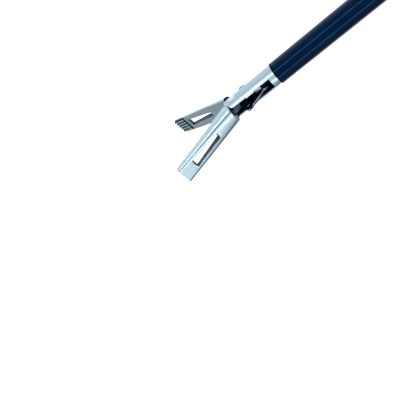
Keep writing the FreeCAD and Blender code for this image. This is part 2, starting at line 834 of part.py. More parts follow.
def pawl():
    """Pawl that drops into the ratchet bar, with a trigger in front of the handle. Drawn let off."""
    tip = ratchet_outer - ratchet_tooth_depth + pawl_tip_gap
    base = ratchet_outer + pawl_nose_height
    flank_angle = pawl_nose_angle + ratchet_tooth_angle - ratchet_undercut_angle
    nose = outline([
        polar(lever_pivot, tip, pawl_nose_angle + ratchet_undercut_angle),
        polar(lever_pivot, ratchet_outer + pawl_tip_gap, flank_angle),
        polar(lever_pivot, base, pawl_nose_angle + pawl_nose_behind),
        polar(lever_pivot, base, pawl_nose_angle - pawl_nose_ahead),
        polar(lever_pivot, ratchet_outer + 2 * pawl_tip_gap, pawl_nose_angle + ratchet_undercut_angle / 2),
    ])
    neck = bar_face(pawl_pin_place, pawl_hub_radius, pawl_neck_place, pawl_neck_radius)
    arm = bar_face(pawl_pin_place, pawl_hub_radius, trigger_end, trigger_bar_radius)
    pad_start = (trigger_end[0] + trigger_pad_length, trigger_end[1])
    pad = bar_face(pad_start, trigger_bar_radius, trigger_end, trigger_pad_radius)
    body = slab(nose, ratchet_half_width).fuse([
        slab(neck, ratchet_half_width),
        slab(arm, ratchet_half_width),
        slab(pad, trigger_half_width),
    ])
    wide = trigger_half_width
    body = body.removeSplitter().cut(pin_y(pawl_pin_radius + run_gap, *pawl_pin_place, -wide, wide))
    return turned(body, -pawl_swing, pawl_pin_place)


def ratchet_room_cut():
    """Channel for the ratchet bar, and the pocket that the pawl swings in below it."""
    half = ratchet_half_width + ratchet_side_room
    channel = ring_sector(lever_pivot, ratchet_inner - ratchet_room, ratchet_outer + ratchet_room,
                          ratchet_front_angle - lever_swing - ratchet_channel_run_out, lever_angle)
    cuts = [slab(channel, half)]
    hub_room = pawl_hub_radius + ratchet_room
    for angle in (-pawl_swing, -pawl_swing / 2, 0):
        arm = bar_face(pawl_pin_place, hub_room, trigger_end, trigger_bar_radius + ratchet_room)
        neck = bar_face(pawl_pin_place, hub_room, pawl_neck_place, pawl_neck_radius + ratchet_room)
        cuts += [turned(slab(face, half), angle, pawl_pin_place) for face in (arm, neck)]
    return cuts


def post_axis():
    a = math.radians(post_tilt)
    return Vector(math.sin(a), 0, math.cos(a))


post_base = Vector(post_back, 0, housing_radius - post_seat_sink)


def post_cylinder(radius, start, end):
    base = post_base + post_axis() * start
    return Part.makeCylinder(radius, end - start, base, post_axis())


def half_width_at(z):
    """The handle's half width at this height: the housing is wider than the leg and ring."""
    return housing_half_width if z > -rear_centre_down - rear_radius / 2 else handle_half_width


def body_screw(place, gap):
    """One screw from the left half into the right. A gap widens it into its own hole."""
    x, z = place
    head_top = half_width_at(z) - body_screw_sink
    head_floor = head_top - body_screw_head_height
    shank = pin_y(body_screw_radius + gap, x, z, -body_screw_grip - gap, head_floor)
    head = pin_y(body_screw_head_radius + gap, x, z, head_floor - gap, head_top + gap)
    return shank.fuse(head).removeSplitter()


def socketed(screw, place, head_top):
    return screw.cut(hexagon_y(socket_radius, *place, head_top - socket_depth, head_top + past))


body_screw_places = [
    (rear_screw_back, -rear_screw_down),
    (leg_screw_back, -leg_screw_down),
    (finger_ring_back, -finger_ring_down - finger_ring_half_length - ring_wall / 2),
]


def handle_whole():
    body = rounded_slab(handle_outline(), handle_half_width, handle_edge_round).fuse(handle_housing())
    body = body.removeSplitter()
    wide = housing_half_width
    cuts = [
        bar_x(bush_radius + seat_gap, handle_front - past, bush_end),
        bar_x(bush_flange_radius + seat_gap, handle_front - past, handle_front + bush_flange_thickness),
        bar_x(circlip_radius + circlip_room, bush_end, journal_end + journal_room),
        bar_x(ball_neck_radius + neck_room, journal_end, lever_pivot[0]),
        pin_y(pivot_screw_radius + seat_gap, *lever_pivot, -wide, wide),
        pin_y(screw_head_radius + seat_gap, *lever_pivot, wide - screw_head_height - seat_gap, wide + past),
        hexagon_y(nut_radius + seat_gap, *lever_pivot, -wide - past, -wide + nut_height + seat_gap),
        pin_y(pawl_pin_radius + seat_gap, *pawl_pin_place, -pawl_pin_half, pawl_pin_half),
        post_cylinder(post_foot_radius + seat_gap, -post_foot_length, post_length),
        post_cylinder(collar_radius + seat_gap, -collar_sink, post_length),
        post_cylinder(contact_radius + seat_gap, -contact_end - past, 0),
    ]
    for x, z in body_screw_places:
        head_top = half_width_at(z) - body_screw_sink
        cuts.append(body_screw((x, z), seat_gap))
        cuts.append(pin_y(body_screw_head_radius + seat_gap, x, z, head_top, wide + past))
    return body.cut(cuts + lever_room_cut() + ratchet_room_cut())


whole = handle_whole()
extent = whole.BoundBox
left_side = block(extent.XMin - past, extent.XMax + past, 0, extent.YMax + past,
                  extent.ZMin - past, extent.ZMax + past)
nodes["left_handle_half"] = whole.common(left_side)
nodes["right_handle_half"] = whole.cut(left_side)
nodes["handle_screws"] = Part.makeCompound([
    socketed(body_screw((x, z), 0.0), (x, z), half_width_at(z) - body_screw_sink)
    for x, z in body_screw_places])


def lever_screw():
    top = housing_half_width - body_screw_sink
    shank = pin_y(pivot_screw_radius, *lever_pivot, -top, top)
    head = pin_y(screw_head_radius, *lever_pivot, housing_half_width - screw_head_height, top)
    screw = shank.fuse(head).removeSplitter()
    return screw.cut(hexagon_y(lever_socket_radius, *lever_pivot, top - socket_depth, top + past))


def lever_nut():
    outer_face = -housing_half_width + body_screw_sink
    nut = hexagon_y(nut_radius, *lever_pivot, outer_face, -housing_half_width + nut_height)
    return nut.cut(pin_y(pivot_screw_radius + seat_gap, *lever_pivot, outer_face - past, 0))


nodes["lever_screw"] = lever_screw()
nodes["lever_nut"] = lever_nut()
nodes["ratchet_pawl"] = pawl()
nodes["pawl_pin"] = pin_y(pawl_pin_radius, *pawl_pin_place, -pawl_pin_half, pawl_pin_half)

# Electrode post for the current cable, its insulating collar and the contact that bears on the rod


def electrode_post():
    post = post_cylinder(post_radius, collar_length, post_length)
    tip = [e for e in post.Edges if e.Curve.TypeId == "Part::GeomCircle"
           and (e.Curve.Center - post_base).dot(post_axis()) > post_length - post_tip_chamfer]
    post = post.makeChamfer(post_tip_chamfer, tip)
    return post.fuse(post_cylinder(post_foot_radius, -post_foot_length, collar_length)).removeSplitter()


nodes["electrode_post"] = electrode_post()
nodes["post_collar"] = post_cylinder(collar_radius, -collar_sink, collar_length).cut(
    post_cylinder(post_foot_radius + seat_gap, -collar_sink - past, collar_length + past))
nodes["contact_pin"] = post_cylinder(contact_radius, -contact_end, -post_foot_length)

os.makedirs("parts", exist_ok=True)
for name, shape in nodes.items():
    shape.exportStep("parts/" + name + ".step")
print(len(nodes), "nodes, rod travel", round(rod_travel, 4))
for name, shape in nodes.items():
    print(name, shape.isValid(), len(shape.Solids), round(shape.Volume, 2))
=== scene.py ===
import json
import math
import bmesh
import bpy
from mathutils import Euler, Matrix, Vector


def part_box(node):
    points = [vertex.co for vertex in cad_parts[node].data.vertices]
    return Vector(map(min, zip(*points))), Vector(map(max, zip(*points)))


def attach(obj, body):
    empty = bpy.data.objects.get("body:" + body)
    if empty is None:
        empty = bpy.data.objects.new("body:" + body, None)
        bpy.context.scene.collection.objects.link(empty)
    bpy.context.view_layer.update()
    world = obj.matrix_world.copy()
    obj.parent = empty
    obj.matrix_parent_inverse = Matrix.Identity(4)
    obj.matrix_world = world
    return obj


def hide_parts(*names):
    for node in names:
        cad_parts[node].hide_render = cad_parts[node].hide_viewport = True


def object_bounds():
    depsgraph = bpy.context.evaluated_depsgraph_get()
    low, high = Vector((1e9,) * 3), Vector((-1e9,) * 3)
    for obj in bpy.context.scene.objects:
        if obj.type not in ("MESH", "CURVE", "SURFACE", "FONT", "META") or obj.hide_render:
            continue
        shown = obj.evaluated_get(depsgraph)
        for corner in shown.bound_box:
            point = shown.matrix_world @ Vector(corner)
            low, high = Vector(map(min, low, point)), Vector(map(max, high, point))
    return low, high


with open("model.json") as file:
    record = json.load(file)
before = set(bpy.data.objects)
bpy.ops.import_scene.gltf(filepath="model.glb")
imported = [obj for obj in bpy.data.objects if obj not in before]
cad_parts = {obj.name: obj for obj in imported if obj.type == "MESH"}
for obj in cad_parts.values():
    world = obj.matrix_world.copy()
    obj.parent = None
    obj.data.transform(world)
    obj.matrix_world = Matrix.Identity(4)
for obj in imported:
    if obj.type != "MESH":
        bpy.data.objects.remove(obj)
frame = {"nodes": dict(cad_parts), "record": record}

# Looks of a laparoscopic grasper: satin steel jaws and clevis, a glossy dark navy shaft sleeve
# and a grained black ring handle. Everything is in metres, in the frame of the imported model.

cad_low, cad_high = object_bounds()
nodes = frame["nodes"]
MM = 0.001

# Sizes read from the frame. The slot is a little wider than the rod pin is long. The jaws stand
# open in the frame, each by the same angle.
clevis_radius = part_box("clevis")[1].z
tube_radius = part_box("outer_tube")[1].z
pivot_low, pivot_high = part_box("jaw_pivot_pin")
jaw_pivot_x = (pivot_low.x + pivot_high.x) / 2
rod_pin_low, rod_pin_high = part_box("rod_pin")
pin_end_gap = 0.04 * MM
slot_half = rod_pin_high.y + pin_end_gap
jaw_opening = math.radians(28.0)


def body_of(node):
    """Name of the body that a node rides on."""
    for body, members in frame["record"]["behaviour"]["bodies"].items():
        if node in members:
            return body
    raise ValueError(node)


# Material helpers


def new_material(name):
    """A material, its node tree and its shader."""
    material = bpy.data.materials.new(name)
    material.use_nodes = True
    tree = material.node_tree
    return material, tree, tree.nodes["Principled BSDF"]


def add(tree, kind, **values):
    """A shader node, with its plain attributes set."""
    node = tree.nodes.new(kind)
    for key, value in values.items():
        setattr(node, key, value)
    return node


def math_node(tree, operation, first, second):
    """A Math node fed with links or numbers."""
    node = add(tree, "ShaderNodeMath", operation=operation)
    for socket, value in zip(node.inputs, (first, second)):
        if isinstance(value, (int, float)):
            socket.default_value = value
        else:
            tree.links.new(value, socket)
    return node.outputs[0]


def ramp(tree, factor, stops):
    """A colour ramp. Each stop is a position and a grey value or a colour."""
    node = add(tree, "ShaderNodeValToRGB")
    elements = node.color_ramp.elements
    while len(elements) < len(stops):
        elements.new(0.5)
    for element, (position, colour) in zip(elements, stops):
        element.position = position
        element.color = (colour, colour, colour, 1) if isinstance(colour, float) else (*colour, 1)
    tree.links.new(factor, node.inputs[0])
    return node.outputs[0]


def object_place(tree, turn=0.0, centre=(0.0, 0.0, 0.0)):
    """Object coordinates about a point, turned about Y."""
    place = add(tree, "ShaderNodeTexCoord").outputs["Object"]
    shifted = add(tree, "ShaderNodeVectorMath", operation="SUBTRACT")
    shifted.inputs[1].default_value = centre
    tree.links.new(place, shifted.inputs[0])
    turned = add(tree, "ShaderNodeMapping", vector_type="POINT")
    turned.inputs["Rotation"].default_value = (0.0, turn, 0.0)
    tree.links.new(shifted.outputs[0], turned.inputs["Vector"])
    return turned.outputs[0]


def streaks(tree, place, stretch, detail=3.0):
    """Noise drawn out along an axis. The stretch is in cycles per metre along X, Y and Z."""
    scaled = add(tree, "ShaderNodeVectorMath", operation="MULTIPLY")
    scaled.inputs[1].default_value = stretch
    tree.links.new(place, scaled.inputs[0])
    noise = add(tree, "ShaderNodeTexNoise")
    noise.inputs["Scale"].default_value = 1.0
    noise.inputs["Detail"].default_value = detail
    noise.inputs["Roughness"].default_value = 0.6
    tree.links.new(scaled.outputs[0], noise.inputs["Vector"])
    return noise.outputs[0]


def bump(tree, shader, height, depth):
    """Small relief on a surface, from a height between 0 and 1 and a depth in metres."""
    node = add(tree, "ShaderNodeBump")
    node.inputs["Strength"].default_value = 1.0
    node.inputs["Distance"].default_value = depth
    tree.links.new(height, node.inputs["Height"])
    tree.links.new(node.outputs[0], shader.inputs["Normal"])


def mixed(tree, factor, first, second):
    """A colour mix by a linked factor. Each side is a link or a colour."""
    node = add(tree, "ShaderNodeMix", data_type="RGBA")
    # Inputs 6 and 7 and output 2 are the ones for colours
    for socket, value in ((node.inputs[6], first), (node.inputs[7], second)):
        if isinstance(value, tuple):
            socket.default_value = (*value, 1)
        else:
            tree.links.new(value, socket)
    tree.links.new(factor, node.inputs[0])
    return node.outputs[2]


def open_share(tree, distance):
    """How open a place is to its surroundings, from 0 deep in a recess to 1 on a free face."""
    node = add(tree, "ShaderNodeAmbientOcclusion", samples=8)
    node.inputs["Distance"].default_value = distance
    return node.outputs["AO"]


# Brush marks on steel, in cycles per metre, their depth, and their share in the roughness
brush_marks = (90.0, 3000.0, 3000.0)
brush_depth = 0.00015 * MM
brush_spread = 0.008
# Clouds on steel, in cycles per metre, and how far they darken it
steel_clouds = (400.0, 400.0, 400.0)
cloud_share = 0.25
# Painted shade in steel recesses: how open a recess is where the shade is full and where it is gone, and
# the shade's colour
recess_dark, recess_clear = 0.12, 0.62
painted_recess_shade = (0.01, 0.014, 0.02)


def steel(name, light, dark, roughness, turn=0.0, centre=(0.0, 0.0, 0.0), reach=1.6 * MM):
    """Satin steel with fine brush marks along its turned X axis. Deep in a recess, where other faces
    close it in within the reach, its colour is painted shade."""
    material, tree, shader = new_material(name)
    place = object_place(tree, turn, centre)
    marks = streaks(tree, place, brush_marks)
    cloud = streaks(tree, place, steel_clouds, detail=4.0)
    tone = ramp(tree, marks, [(0.3, dark), (0.7, light)])
    clouded = mixed(tree, ramp(tree, cloud, [(0.35, 0.0), (0.75, cloud_share)]), tone, dark)
    # Painted shade: the colour turns to the shade colour where the recess closes in
    seen = ramp(tree, open_share(tree, reach), [(recess_dark, 0.0), (recess_clear, 1.0)])
    tree.links.new(mixed(tree, seen, painted_recess_shade, clouded), shader.inputs["Base Color"])
    rough = ramp(tree, marks, [(0.25, roughness - brush_spread), (0.75, roughness + brush_spread)])
    tree.links.new(rough, shader.inputs["Roughness"])
    shader.inputs["Metallic"].default_value = 1.0
    bump(tree, shader, marks, brush_depth)
    return material


def matte_dark_and_shade(name, light, dark, grain=1500.0, specular=0.15):
    """A matte dark finish with a fine grain. It is the black coating of the end ring, and painted shade
    in slots, windows, grooves and round links and pins. The grain is in cycles per metre.
    """
    material, tree, shader = new_material(name)
    place = object_place(tree)
    cloud = streaks(tree, place, (grain, grain, grain), detail=3.0)
    tree.links.new(ramp(tree, cloud, [(0.35, dark), (0.65, light)]), shader.inputs["Base Color"])
    tree.links.new(ramp(tree, cloud, [(0.3, 0.4), (0.7, 0.6)]), shader.inputs["Roughness"])
    shader.inputs["Specular IOR Level"].default_value = specular
    bump(tree, shader, cloud, 0.01 * MM)
    return material


def assign(material, *names):
    """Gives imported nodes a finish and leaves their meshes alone."""
    for name in names:
        nodes[name].data.materials.clear()
        nodes[name].data.materials.append(material)


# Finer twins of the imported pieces, with their sharp edges rounded

# Points this near to each other are one point, and faces this near to one plane are one face
packed_weld = 0.001 * MM
one_plane = math.radians(0.05)
# From this angle between two faces on, in degrees, an edge is rounded
twin_sharp, blade_sharp = 28.0, 40.0
# A flat side has a normal with more than this share along Y
flat_side = 0.9
# Steps round a turned piece
turned_steps = 96


def placed(name, mesh, node):
    """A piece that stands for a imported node, with its body and finish."""
    piece = bpy.data.objects.new(name, mesh)
    bpy.context.scene.collection.objects.link(piece)
    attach(piece, body_of(node))
    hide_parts(node)
    return piece


def even_shading(piece):
    """Keeps flat faces flat to the eye beside rounded ones."""
    normals = piece.modifiers.new("normals", "WEIGHTED_NORMAL")
    normals.keep_sharp = True


def finished(piece, edge, sharp, rim):
    """Rounds a piece's sharp edges and evens out its shading. The rim is the rounding's material."""
    bevel = piece.modifiers.new("edges", "BEVEL")
    bevel.width = edge
    bevel.segments = 2
    bevel.limit_method = "ANGLE"
    bevel.angle_limit = math.radians(sharp)
    bevel.use_clamp_overlap = True
    bevel.material = rim
    even_shading(piece)


def packed_shape(node):
    """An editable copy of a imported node, with its flat faces made whole."""
    shape = bmesh.new()
    shape.from_mesh(nodes[node].data)
    bmesh.ops.remove_doubles(shape, verts=shape.verts, dist=packed_weld)
    bmesh.ops.dissolve_limit(shape, angle_limit=one_plane, verts=shape.verts, edges=shape.edges)
    return shape


def mesh_of(shape, name, materials, finish=None):
    """Makes a mesh of a shape. The finish test gives the number of each face's material."""
    for face in shape.faces:
        face.smooth = True
        face.material_index = int(finish(face)) if finish else 0
    mesh = bpy.data.meshes.new(name)
    for material in materials:
        mesh.materials.append(material)
    shape.to_mesh(mesh)
    shape.free()
    return mesh


def flank(face):
    """A flat side of a jaw's tail, a link or a pin."""
    return abs(face.normal.y) > flat_side


def twin(node, *materials, finish=None, edge, rim=0):
    """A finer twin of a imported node. The rim is the number of its rounded edges' material."""
    mesh = mesh_of(packed_shape(node), node + "_fine", materials, finish)
    finished(placed(node + "_fine", mesh, node), edge, twin_sharp, rim)


def revolved(node, profile, material):
    """A turned piece about the shaft's axis. The profile is a closed loop of x and radius."""
    shape = bmesh.new()
    rings = []
    for i in range(turned_steps):
        a = 2 * math.pi * i / turned_steps
        rings.append([shape.verts.new((x, r * math.cos(a), r * math.sin(a))) for x, r in profile])
    for ring, following in zip(rings, rings[1:] + rings[:1]):
        for k in range(len(profile)):
            j = (k + 1) % len(profile)
            shape.faces.new((ring[k], ring[j], following[j], following[k]))
    bmesh.ops.recalc_face_normals(shape, faces=shape.faces)
    even_shading(placed(node + "_fine", mesh_of(shape, node + "_fine", [material]), node))


# Jaws, lofted over the solids' shape. Places run forward from the pivot and heights outwards from
# the bite plane, in millimetres. A root size is at the shoulder and a tip size at the jaw's end.

jaw_length, jaw_shoulder = 19.35, 2.3
tip_corner_radius = 0.6
# The outside is round up to an edge's angle above the bite plane, in degrees. A side flat that
# leans inwards and an edge flat lead from there to the back, and are given by their widths.
jaw_root_radius, jaw_tip_radius = 2.46, 2.2
edge_root_angle, edge_tip_angle = 39.0, 26.0
side_flat_root, side_flat_tip = 0.4, 0.1
side_flat_lean = 42.0
edge_flat_root, edge_flat_tip = 0.66, 0.34
# The edge flat rises by this share of its width at most
steepest_edge = 0.9
# The back is flat, but for a bulge that fades out towards the tip
flat_root_height, flat_tip_height = 2.15, 1.2
back_bulge, bulge_end = 0.09, 16.0
# The inner face starts near the bite plane and falls back to a recess. A deeper relief parts it
# from the pad at the tip.
bite_gap = 0.03
recess_start, recess_full = 5.5, 9.5
upper_recess, lower_recess = 0.12, 0.25
relief_length, relief_depth = 0.35, 0.18
pad_start = 16.45
# The pad's ridges run lengthwise. The pitch and the two widths are measured across the jaw.
tooth_pitch, tooth_depth = 0.76, 0.34
tooth_top, groove_floor = 0.26, 0.2
window_start, window_end = 8.05, 15.85
window_start_width, window_end_width = 1.2, 2.06
# How far the window's end wall leans at its foot
window_end_slant = 0.45
# The shoulder leans on one side, by the slant for each millimetre of height above its start
shoulder_slant, slant_start = 0.32, 1.2
# Widths over which a section's corners are rounded, from the bite edge to the back
bite_ease, side_ease, edge_ease, back_ease = 0.05, 0.04, 0.05, 0.2
corner_shares = (0, 1 / 3, 2 / 3, 1)
# Where the even spacing of points stops short of the bite edge and of the back's edge
bite_inset, back_inset = 0.1, 0.15
# Numbers of points and steps in a section and of steps between sections, and the angles of the
# sections round the tip's corner
under_points, arc_steps, back_steps = 11, 10, 6
root_steps, window_steps, pad_steps = 8, 12, 3
corner_angles = (0, 20, 40, 60, 75, 90)
# Length of the relief's first wall, which is all but square to the inner face
relief_wall = 0.001
# The imported hub ends this short of the blade, and from hub_front on its faces other than the flanks
# have painted half shade
hub_gap, hub_front = 0.005, 0.2
# The blade's points are joined over the one distance, and its edges rounded by the other
blade_weld, blade_edge = 0.0005, 0.03

# Numbers of a jaw's materials: the satin, painted half shade, painted deep shade, and darker copies of
# the satin that paint shade on the inner face and on the edge flat
SATIN, WALL, DARK, INNER, FACET = range(5)


def along_jaw(place, root, tip):
    """A size at a place, between its values at the root and at the tip."""
    return root + (tip - root) * (place - jaw_shoulder) / (jaw_length - jaw_shoulder)


def window_half(place):
    """Half of the window's width. Before and after the window a section's inner points follow it."""
    share = min(max((place - window_start) / (window_end - window_start), 0), 1)
    return (window_start_width + (window_end_width - window_start_width) * share) / 2


def bite_height(place, on_pad, recess):
    """Height of the inner face above the bite plane."""
    if on_pad:
        return bite_gap
    share = min(max(place - recess_start, 0) / (recess_full - recess_start), 1)
    height = bite_gap + (recess - bite_gap) * share
    return height + relief_depth if place > pad_start - relief_length else height


def eased_corner(before, corner, after, ease):
    """Points that round a corner of a section. They lie on a curve that starts and ends straight."""
    first = corner + (before - corner).normalized() * ease
    last = corner + (after - corner).normalized() * ease
    return [first * (1 - t)**2 + corner * 2 * t * (1 - t) + last * t**2 for t in corner_shares]


def pad_profile(low, ridge_first):
    """Ridges and grooves under half of the pad, from its middle outwards."""
    deep = low + tooth_depth
    widths = (tooth_top, groove_floor) if ridge_first else (groove_floor, tooth_top)
    heights = (low, deep) if ridge_first else (deep, low)
    points = [Vector((0, heights[0]))]
    k = 0
    while len(points) < under_points:
        middle = k * tooth_pitch / 2
        if k:
            points.append(Vector((middle - widths[k % 2] / 2, heights[k % 2])))
        points.append(Vector((middle + widths[k % 2] / 2, heights[k % 2])))
        k += 1
    return points[:under_points]


def flat_profile(place, low, bite_edge):
    """Half of the inner face off the pad, from its middle over the window's side outwards."""
    inner = window_half(place)
    outer = bite_edge - bite_inset
    steps = under_points - 1
    return [Vector((0, low))] + [Vector((inner + (outer - inner) * k / steps, low)) for k in range(steps)]


def back_profile(place, shoulder):
    """Half of the back, from the edge's flat over the window's side to the middle."""
    inner = window_half(place)
    outer = shoulder.x - back_inset
    across = [outer + (inner - outer) * k / back_steps for k in range(1, back_steps + 1)] + [0]
    bulge = back_bulge * max(1 - (place - jaw_shoulder) / (bulge_end - jaw_shoulder), 0)
    return [Vector((y, shoulder.y + bulge * (1 - (y / shoulder.x)**2))) for y in across]


def round_side(place, foot):
    """Points of the outside's round, from the foot's height up to the edge's angle."""
    radius = along_jaw(place, jaw_root_radius, jaw_tip_radius)
    start = math.asin(foot / radius)
    end = math.radians(along_jaw(place, edge_root_angle, edge_tip_angle))
    angles = [start + (end - start) * k / arc_steps for k in range(arc_steps + 1)]
    return [Vector((radius * math.cos(a), radius * math.sin(a))) for a in angles]


def back_edge(place, edge_start):
    """The point where the edge's flat ends and the back begins."""
    flat = along_jaw(place, edge_flat_root, edge_flat_tip)
    height = along_jaw(place, flat_root_height, flat_tip_height)
    rise = min(height - edge_start.y, steepest_edge * flat)
    return edge_start + Vector((-math.sqrt(flat**2 - rise**2), rise))


def half_section(place, on_pad, ridge_first, recess):
    """Half of the blade's outline at a place along it, from under its middle round to its back."""
    low = bite_height(place, on_pad, recess)
    arc = round_side(place, low + tooth_depth if on_pad and ridge_first else low)
    lean = math.radians(side_flat_lean)
    side_flat = along_jaw(place, side_flat_root, side_flat_tip)
    edge_start = arc[-1] + Vector((-math.cos(lean), math.sin(lean))) * side_flat
    shoulder = back_edge(place, edge_start)
    outline = pad_profile(low, ridge_first) if on_pad else flat_profile(place, low, arc[0].x)
    top = back_profile(place, shoulder)
    outline += eased_corner(outline[-1], arc[0], arc[1], bite_ease) + arc[1:-1]
    outline += eased_corner(arc[-2], arc[-1], edge_start, side_ease)
    outline += eased_corner(outline[-1], edge_start, shoulder, edge_ease)
    outline += eased_corner(outline[-1], shoulder, top[0], back_ease)
    outline += top
    past_corner = place - (jaw_length - tip_corner_radius)
    if past_corner > 0:
        taken = tip_corner_radius - math.sqrt(max(tip_corner_radius**2 - past_corner**2, 0))
        outline = [Vector((min(q.x, jaw_tip_radius - taken), q.y)) for q in outline]
    return outline


def spread(start, end, count):
    """Evenly spaced places from the start to one step before the end."""
    return [start + (end - start) * k / count for k in range(count)]


def blade_places():
    """Places of the sections along the blade. Each says whether it is on the pad."""
    relief = pad_start - relief_length
    plain = spread(jaw_shoulder, window_start, root_steps)
    plain += spread(window_start, window_end, window_steps)
    plain += [window_end, relief, relief + relief_wall, pad_start]
    corner = jaw_length - tip_corner_radius
    rounding = [corner + tip_corner_radius * math.sin(math.radians(a)) for a in corner_angles]
    pad = spread(pad_start, corner, pad_steps) + rounding
    return [(place, False) for place in plain] + [(place, True) for place in pad]


def leaned(place, k, height, side):
    """Place along the jaw of a section's point. The shoulder and the foot of the window's end lean."""
    if place == jaw_shoulder and side > 0:
        return place + shoulder_slant * max(height - slant_start, 0)
    if place == window_end and k < 2:
        return place - window_end_slant
    return place


# The edge's flat comes after the bite corner, the round side, the side corner and the edge corner
corner_points = len(corner_shares)
facet_step = under_points + corner_points + arc_steps - 1 + 2 * corner_points - 1


def under_finish(outline, k, on_pad, following):
    """Material of a face under the blade. Painted half shade lies in the pad's grooves and from the
    relief on, and a darker copy of the satin paints shade on the rest of the inner face. The pad's ridges
    have the satin of the outside.
    """
    if on_pad:
        return WALL if max(outline[k].y, outline[k + 1].y) > bite_gap + tooth_depth / 2 else SATIN
    return WALL if following > pad_start - relief_length else INNER


def add_blade(shape, ridge_first, recess, carried):
    """Adds the lofted blade to a shape. Gives the material of each face that has its own: painted shade
    on the window's walls, in the grooves and relief, on the edge flat and on the root's end face, and the
    inner face's darker satin.
    """
    finish_of = {}
    rows = []
    for place, on_pad in blade_places():
        rows.append((place, on_pad, half_section(place, on_pad, ridge_first, recess)))
    places = [place for place, _, _ in rows]
    for side in (1, -1):
        grid = []
        for place, on_pad, outline in rows:
            points = [(-leaned(place, k, q.y, side), side * q.x, q.y) for k, q in enumerate(outline)]
            grid.append([shape.verts.new(carried @ (Vector(point) * MM)) for point in points])
        last = len(grid[0]) - 1
        for (place, on_pad, outline), following, row, after in zip(rows, places[1:], grid, grid[1:]):
            in_window = window_start <= place and following <= window_end
            for k in range(last):
                # The window is open beside the middle, at the inner face and at the back
                if in_window and k in (0, last - 1):
                    continue
                face = shape.faces.new((row[k], row[k + 1], after[k + 1], after[k]))
                if k == facet_step:
                    finish_of[face] = FACET
                elif k < under_points:
                    finish_of[face] = under_finish(outline, k, on_pad, following)
            if in_window:
                finish_of[shape.faces.new((row[1], after[1], after[last - 1], row[last - 1]))] = WALL
        for row, place in zip(grid, places):
            if place in (window_start, window_end):
                finish_of[shape.faces.new((row[0], row[1], row[last - 1], row[last]))] = WALL
        finish_of[shape.faces.new(grid[0])] = DARK
        shape.faces.new(grid[-1])
    return finish_of


def jaw(node, sign, ridge_first, recess, *materials):
    """A jaw: its packed hub and tail behind the shoulder, and a finer blade in front of it."""
    centre = Vector((jaw_pivot_x, 0.0, 0.0))
    forward = Vector((-math.cos(jaw_opening), 0.0, sign * math.sin(jaw_opening)))
    shape = packed_shape(node)
    everything = list(shape.verts) + list(shape.edges) + list(shape.faces)
    cut = centre + forward * (jaw_shoulder - hub_gap) * MM
    bmesh.ops.bisect_plane(shape, geom=everything, plane_co=cut, plane_no=forward, clear_outer=True)
    hub = list(shape.faces)
    turn = Matrix.Rotation(jaw_opening, 4, "Y")
    over = Matrix.Rotation(0.0 if sign > 0 else math.pi, 4, "X")
    carried = Matrix.Translation(centre) @ over @ turn
    finish_of = add_blade(shape, ridge_first, recess, carried)
    # The hub's faces get painted shade: deep shade on the flanks and behind hub_front, half shade ahead
    # of it
    for face in hub:
        ahead = (face.calc_center_median() - centre).dot(forward) > hub_front * MM
        finish_of[face] = WALL if ahead and not flank(face) else DARK
    bmesh.ops.remove_doubles(shape, verts=shape.verts, dist=blade_weld * MM)
    bmesh.ops.recalc_face_normals(shape, faces=shape.faces)
    mesh = mesh_of(shape, node + "_fine", materials, finish=lambda face: finish_of.get(face, SATIN))
    finished(placed(node + "_fine", mesh, node), blade_edge * MM, blade_sharp, rim=SATIN)


# Each pair of tones is the light and the dark one
pivot = (jaw_pivot_x, 0.0, 0.0)
outer_tones = ((0.37, 0.47, 0.53), (0.33, 0.42, 0.48))
# The inner and facet tones are darker copies of the outer satin: painted shade on the bite face and on
# the edge flat
inner_shade_tones = ((0.28, 0.34, 0.37), (0.22, 0.27, 0.3))
facet_shade_tones = ((0.15, 0.2, 0.25), (0.12, 0.17, 0.21))
# Painted shade, not finishes of the steel: a dark half shade on window walls, grooves, links and the hub,
# and an all but black deep shade in the slot and on flat sides deep in it
painted_half_shade = matte_dark_and_shade("painted_half_shade", (0.036, 0.062, 0.088), (0.006, 0.012, 0.026))
deep_shade_tones = ((0.0006, 0.004, 0.014), (0.0002, 0.0004, 0.001))
painted_deep_shade = matte_dark_and_shade("painted_deep_shade", *deep_shade_tones, grain=700.0, specular=0.0)
for name, sign, recess in (("upper", 1, upper_recess), ("lower", -1, lower_recess)):
    turn = -sign * jaw_opening
    satin = steel(name + "_jaw_satin", *outer_tones, 0.3, turn, pivot)
    inner = steel(name + "_bite_shaded_satin", *inner_shade_tones, 0.32, turn, pivot)
    facet = steel(name + "_edge_shaded_satin", *facet_shade_tones, 0.25, turn, pivot)
    jaw(name + "_jaw", sign, sign < 0, recess, satin, painted_half_shade, painted_deep_shade, inner, facet)

# Clevis, links, pins and the other steel pieces

# A face of the clevis is inside where it is this near to the slot and this far from the outside
slot_margin = 0.05 * MM
round_margin = 0.1 * MM


def in_slot(face):
    """Faces of the clevis inside its slot and bore. They get painted deep shade."""
    middle = face.calc_center_median()
    beside_slot = abs(middle.y) < slot_half + slot_margin
    return beside_slot and math.hypot(middle.y, middle.z) < clevis_radius - round_margin


def link_painted_shade(face):
    """A link's flat sides get painted deep shade and the rest of it painted half shade. Its rounded edges
    are bright.
    """
    return 1 if flank(face) else 2


clevis_tones = ((0.33, 0.42, 0.47), (0.28, 0.36, 0.41))
clevis_satin = steel("clevis_satin", *clevis_tones, 0.3, centre=pivot, reach=0.7 * MM)
# Inside the slot and bore the clevis has painted deep shade
twin("clevis", clevis_satin, painted_deep_shade, finish=in_slot, edge=0.03 * MM)
link_steel = steel("link_bright", (0.55, 0.64, 0.7), (0.42, 0.5, 0.56), 0.22)
for node in ("upper_link", "lower_link"):
    twin(node, link_steel, painted_deep_shade, painted_half_shade, finish=link_painted_shade, edge=0.055 * MM)
pin_steel = steel("pin_bright", (0.5, 0.6, 0.66), (0.4, 0.5, 0.56), 0.2)
